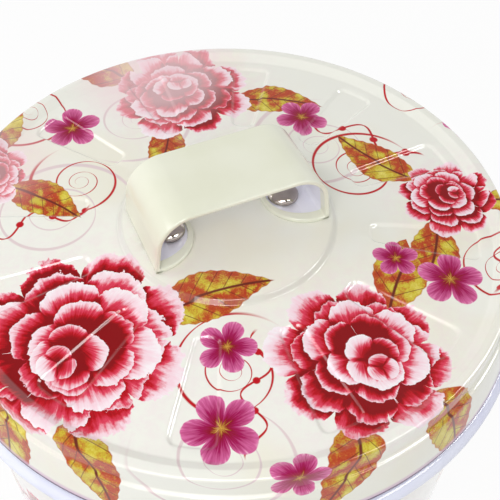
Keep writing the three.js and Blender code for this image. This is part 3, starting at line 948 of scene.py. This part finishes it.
def lid_shell():
    rows = [FLUTE_INNER + row for row in FLUTE_END_ROWS] + PANEL_ROWS
    rows += [FLUTE_OUTER - row for row in FLUTE_END_ROWS[::-1]]
    face = bent([(0, LID_HEIGHT, 0), (DISC_FLAT_RADIUS, LID_HEIGHT, 0),
                 (DISC_RADIUS, LID_HEIGHT, STEP_BEND),
                 (PANEL_START_X, PANEL_START_Z, STEP_BEND)]
                + [(row, panel_z(row), 0) for row in rows]
                + [(PANEL_EDGE_X, PANEL_EDGE_Z, TOE_BEND), (BEAD_INNER_X, BEAD_Z, BEAD_BEND),
                   (BEAD_X, BEAD_Z, BEAD_BEND),
                   (SHOULDER_X - SHOULDER_LEDGE, SHOULDER_Z + SHOULDER_FALL, GROOVE_BEND),
                   (SHOULDER_X, SHOULDER_Z, SHOULDER_BEND), (FOOT_RADIUS, 0, LID_FOOT_BEND),
                   (FOOT_RADIUS - LIP_WIDTH, 0, 0)])
    profile = face + offset(face, SHEET)[::-1]
    data = lathe(profile, lid_angles(), LID_Z, flute_press, len(face) - 1, closed=False)
    piece = finish_mesh("lid", data, [lid_paint, inner_lacquer])
    drill(piece, DISC_TOP - DRILL_FAR, DISC_TOP + DRILL_NEAR)
    mount(piece, "lid", "lid_print", "lid_shell")


def plug_ring():
    radius = BODY_INNER - PLUG_CLEARANCE
    level = SHEET + GAP
    face = bent([(FOOT_RADIUS - 2 * SHEET - GAP, level, 0), (radius, level, PLUG_BEND),
                 (radius, PLUG_LEAD_IN - PLUG_DEPTH, PLUG_BEND),
                 (radius - PLUG_LEAD_IN, -PLUG_DEPTH, 0)])
    data = lathe(face + offset(face, SHEET)[::-1], even_angles(TURN_STEPS), LID_Z)
    piece = finish_mesh("plug_ring", data, [inner_lacquer])
    mount(piece, "lid", "inner_lacquer", "lid_plug_ring")


# Handle

TIP_ROWS = 30
FIRST_ROW_SHARE = 0.15
ROWS_PAST_TIP = [19.5, 21]
HEM_ROW_SHIFT = 0.02
ROUND_STEPS = 6
FOOT_BEND_STEPS = 12
TOP_BEND_STEPS = 28


def half_width(from_tip, side_inset, tip_inset):
    """Half the width of the strap's outline, drawn in from its sides and from its tip."""
    end = STRAP_WIDTH / 2
    short = max(end - from_tip, 0) / (end - tip_inset)
    return (end - side_inset) * math.sqrt(max(1 - short ** 2, 0))


def strap_section(from_tip, reach):
    """Across and inwards from the outer face, which lies reach further out than the CAD's."""
    thick = STRAP_SHEET + HEM_RISE
    edge = half_width(from_tip, 0, 0)
    hem = half_width(from_tip, HEM_WIDTH - HEM_SLOPE, HEM_TIP_WIDTH - HEM_SLOPE)
    floor_edge = half_width(from_tip, HEM_WIDTH, HEM_TIP_WIDTH)
    floor = STRAP_SHEET if hem > 0 else thick
    bend = min(thick * HEM_ROUND_SHARE, edge / 2)
    half = [(edge / 2, -reach)]
    half += [(x, d - reach * (1 - d / bend)) for x, d in
             arc((edge - bend, bend), bend, -QUARTER, 0, ROUND_STEPS)]
    half += arc((edge - bend, thick - bend), bend, 0, QUARTER, ROUND_STEPS)
    half += [(hem, thick), (floor_edge, floor)]
    return half + [(-x, d) for x, d in half[::-1]]


def corner_reach(out, down):
    """How far past the foot's bend its crisp fold goes, in the direction given."""
    side = FOOT_BEND
    bottom = FOOT_BEND + FOOT_SEAT
    corner = Vector((side - FOOT_CORNER, bottom - FOOT_CORNER))
    along = corner.x * out + corner.y * down
    inside = along ** 2 - corner.length_squared + FOOT_CORNER ** 2
    far = along + math.sqrt(max(inside, 0))
    if bottom * out <= corner.x * down:
        far = bottom / down
    elif side * down <= corner.y * out:
        far = side / out
    return max(far - FOOT_BEND, 0)


def strap_route():
    """Half of the strap in side view, from the tip of a foot to the middle of the top.

    Each station has a place, the direction inwards, its distance from the tip, and a reach.
    """
    tip_x = STRAP_HALF - FOOT_LENGTH
    tip_turns = [QUARTER * (i + FIRST_ROW_SHARE) / (TIP_ROWS + FIRST_ROW_SHARE)
                 for i in range(TIP_ROWS + 1)]
    distances = [STRAP_WIDTH / 2 * (1 - math.cos(turn)) for turn in tip_turns]
    distances += [HEM_TIP_WIDTH - HEM_SLOPE + HEM_ROW_SHIFT, HEM_TIP_WIDTH + HEM_ROW_SHIFT]
    stations = [((tip_x + d, 0.0), (0.0, 1.0), d, FOOT_SEAT)
                for d in sorted(distances + ROWS_PAST_TIP)]
    lean = math.sin(STRAP_LEAN)
    foot_x = STRAP_HALF - FOOT_BEND
    top_z = STRAP_HEIGHT - STRAP_BEND
    shift = FOOT_BEND * (1 + lean) - STRAP_BEND - lean * top_z
    top_x = foot_x + shift / math.cos(STRAP_LEAN)
    for centre, radius, start, end, steps in (
            ((foot_x, FOOT_BEND), FOOT_BEND, -QUARTER, STRAP_LEAN, FOOT_BEND_STEPS),
            ((top_x, top_z), STRAP_BEND, STRAP_LEAN, QUARTER, TOP_BEND_STEPS)):
        for x, z in arc(centre, radius, start, end, steps):
            inward = (Vector(centre) - Vector((x, z))).normalized()
            reach = corner_reach(-inward.x, inward.y) if z < FOOT_BEND else 0.0
            stations.append(((x, z), tuple(inward), FOOT_LENGTH, reach))
    return stations


def handle_strap():
    half = strap_route()
    route = half + [((-p[0], p[1]), (-n[0], n[1]), d, r) for p, n, d, r in half[::-1]]
    data = bmesh.new()
    rows = []
    for (x, z), (nx, nz), from_tip, reach in route:
        rows.append([data.verts.new(((x + nx * d) * MM, across * MM, (z + nz * d + STRAP_Z) * MM))
                     for across, d in strap_section(from_tip, reach)])
    size = len(rows[0])
    floor_face = size // 2 - 1
    for a, b in zip(rows, rows[1:]):
        for i in range(size):
            j = (i + 1) % size
            face = data.faces.new((a[i], a[j], b[j], b[i]))
            face.material_index = 1 if i == floor_face else 0
    data.faces.new(rows[0])
    data.faces.new(rows[-1])
    bmesh.ops.remove_doubles(data, verts=data.verts, dist=MERGE_DISTANCE * MM)
    piece = finish_mesh("handle", data, [handle_lacquer, inner_lacquer])
    drill(piece, STRAP_Z - DRILL_NEAR, STRAP_Z + DRILL_FAR)
    mount(piece, "lid", "handle_lacquer", "handle_strap")


DOME_STEPS = 24
HEAD_EDGE = ((0.3, 0), (0.05, 0.1))


def rivet(name, node, side):
    base = STRAP_Z + STRAP_SHEET + GAP
    brim = RIVET_HEIGHT * RIVET_BRIM_SHARE
    tail_top = DISC_TOP - SHEET - GAP
    profile = [(x, tail_top + z) for x, z in RIVET_TAIL]
    profile += [(RIVET_SHANK, tail_top), (RIVET_SHANK, base)]
    profile += [(RIVET_HEAD - inset, base + rise) for inset, rise in HEAD_EDGE]
    profile += [(RIVET_HEAD * math.cos(t), base + brim + (RIVET_HEIGHT - brim) * math.sin(t))
                for t in (QUARTER * i / DOME_STEPS for i in range(DOME_STEPS))]
    profile.append((0, base + RIVET_HEIGHT))
    data = lathe(profile, even_angles(RIVET_STEPS), closed=False)
    at_rivet(data, side)
    mount(finish_mesh(name, data, [rivet_metal]), "lid", "rivet_chrome", node)


body_wall()
body_bottom()
lid_shell()
plug_ring()
handle_strap()
rivet("rivet_head_left", "rivet_left", -1)
rivet("rivet_head_right", "rivet_right", 1)


# Floor, lights, camera

WHITE = (1, 1, 1, 1)
FLOOR_SIZE = 30.0
FLOOR_CELLS = 8
FLOOR_GREY = (0.7, 0.7, 0.7, 1)
FLOOR_WHITE = (0.97, 0.97, 0.97, 1)
FLOOR_GLOW = 0.91


def stage_floor():
    """A grey floor to the light on the object, and a white one with a shadow to what sees it."""
    data = bmesh.new()
    bmesh.ops.create_grid(data, x_segments=FLOOR_CELLS, y_segments=FLOOR_CELLS, size=FLOOR_SIZE)
    mesh = bpy.data.meshes.new("floor")
    data.to_mesh(mesh)
    data.free()
    floor = bpy.data.objects.new("floor", mesh)
    bpy.context.scene.collection.objects.link(floor)
    g = material_graph("floor_white")
    diffuse = g.node("ShaderNodeBsdfDiffuse")
    glow = g.node("ShaderNodeEmission")
    glow.inputs["Strength"].default_value = 1.0
    seen = g.seen()
    g.put(diffuse.inputs["Color"], g.mix(seen, FLOOR_GREY, FLOOR_WHITE))
    g.blend(seen * FLOOR_GLOW, diffuse, glow, "ShaderNodeOutputMaterial")
    mesh.materials.append(g.owner)


# Names, places, sizes and powers. A highlight card only shows as a reflection.

LAMP_TARGET = (0, 0, 0.22)
LAMPS = (("near_front", (-0.42, -0.50, 0.80), (0.34, 0.34), 1.8),
         ("near_back", (-0.62, 0.28, 0.70), (0.34, 0.34), 1.3),
         ("near_top", (-0.28, -0.26, 0.70), (0.3, 0.3), 0.3))
HIGHLIGHT_CARDS = (("front_card", (-0.24, -0.62, 1.02), (0.40, 0.24), 4.6),
                   ("corner_card", (0.42, -0.56, 0.96), (0.40, 0.24), 3.4),
                   ("right_card", (0.64, -0.14, 0.84), (0.24, 0.36), 4.0))
WORLD_STRENGTH = 0.68
CEILING_START = 0.3
CEILING_END = 0.72
CEILING_GREY = 0.12


def area_light(name, place, size, power):
    data = bpy.data.lights.new(name, "AREA")
    data.shape, data.size, data.size_y, data.energy = "RECTANGLE", size[0], size[1], power
    lamp = bpy.data.objects.new(name, data)
    lamp.location = place
    towards = Vector(LAMP_TARGET) - Vector(place)
    lamp.rotation_euler = towards.to_track_quat("-Z", "Y").to_euler()
    bpy.context.scene.collection.objects.link(lamp)
    return lamp


def world_light():
    """Even light, and the background that the camera, metal and glass see.

    The background is white as far up as a picture reaches, and dims towards the ceiling.
    """
    world = bpy.data.worlds.new("studio")
    bpy.context.scene.world = world
    g = Graph(world)
    _, _, height = g.parts(g.place("Generated"))
    soft = g.node("ShaderNodeBackground")
    soft.inputs["Color"].default_value = WHITE
    soft.inputs["Strength"].default_value = WORLD_STRENGTH
    backdrop = g.node("ShaderNodeBackground")
    backdrop.inputs["Color"].default_value = WHITE
    g.put(backdrop.inputs["Strength"],
          g.smooth(height, CEILING_START, CEILING_END, 1.0, CEILING_GREY))
    g.blend(g.seen(), soft, backdrop, "ShaderNodeOutputWorld")


CAMERA_AZIMUTH = math.radians(-113.3)
CAMERA_ELEVATION = math.radians(50.0)
CAMERA_DISTANCE = 0.360
CAMERA_TARGET = Vector((0, 0, 0.2103))
CAMERA_FOCAL = 839.0
CAMERA_CENTRE = (227.0, 259.0)
IMAGE_SIZE = 500.0
SENSOR = 36.0
CLIP_START = 0.01
CLIP_END = 50


def photo_camera():
    data = bpy.data.cameras.new("camera")
    data.sensor_width = SENSOR
    data.lens = CAMERA_FOCAL * SENSOR / IMAGE_SIZE
    data.shift_x = (IMAGE_SIZE / 2 - CAMERA_CENTRE[0]) / IMAGE_SIZE
    data.shift_y = (CAMERA_CENTRE[1] - IMAGE_SIZE / 2) / IMAGE_SIZE
    data.clip_start = CLIP_START
    data.clip_end = CLIP_END
    camera = bpy.data.objects.new("camera", data)
    flat = math.cos(CAMERA_ELEVATION)
    back = Vector((flat * math.cos(CAMERA_AZIMUTH), flat * math.sin(CAMERA_AZIMUTH),
                   math.sin(CAMERA_ELEVATION)))
    camera.location = CAMERA_TARGET + back * CAMERA_DISTANCE
    camera.rotation_mode = "QUATERNION"
    camera.rotation_quaternion = (-back).to_track_quat("-Z", "Y")
    bpy.context.scene.collection.objects.link(camera)
    bpy.context.scene.camera = camera


stage_floor()
world_light()
for lamp_settings in LAMPS:
    area_light(*lamp_settings)
for card_settings in HIGHLIGHT_CARDS:
    area_light(*card_settings).visible_diffuse = False
photo_camera()
bpy.context.scene.view_settings.view_transform = "Standard"
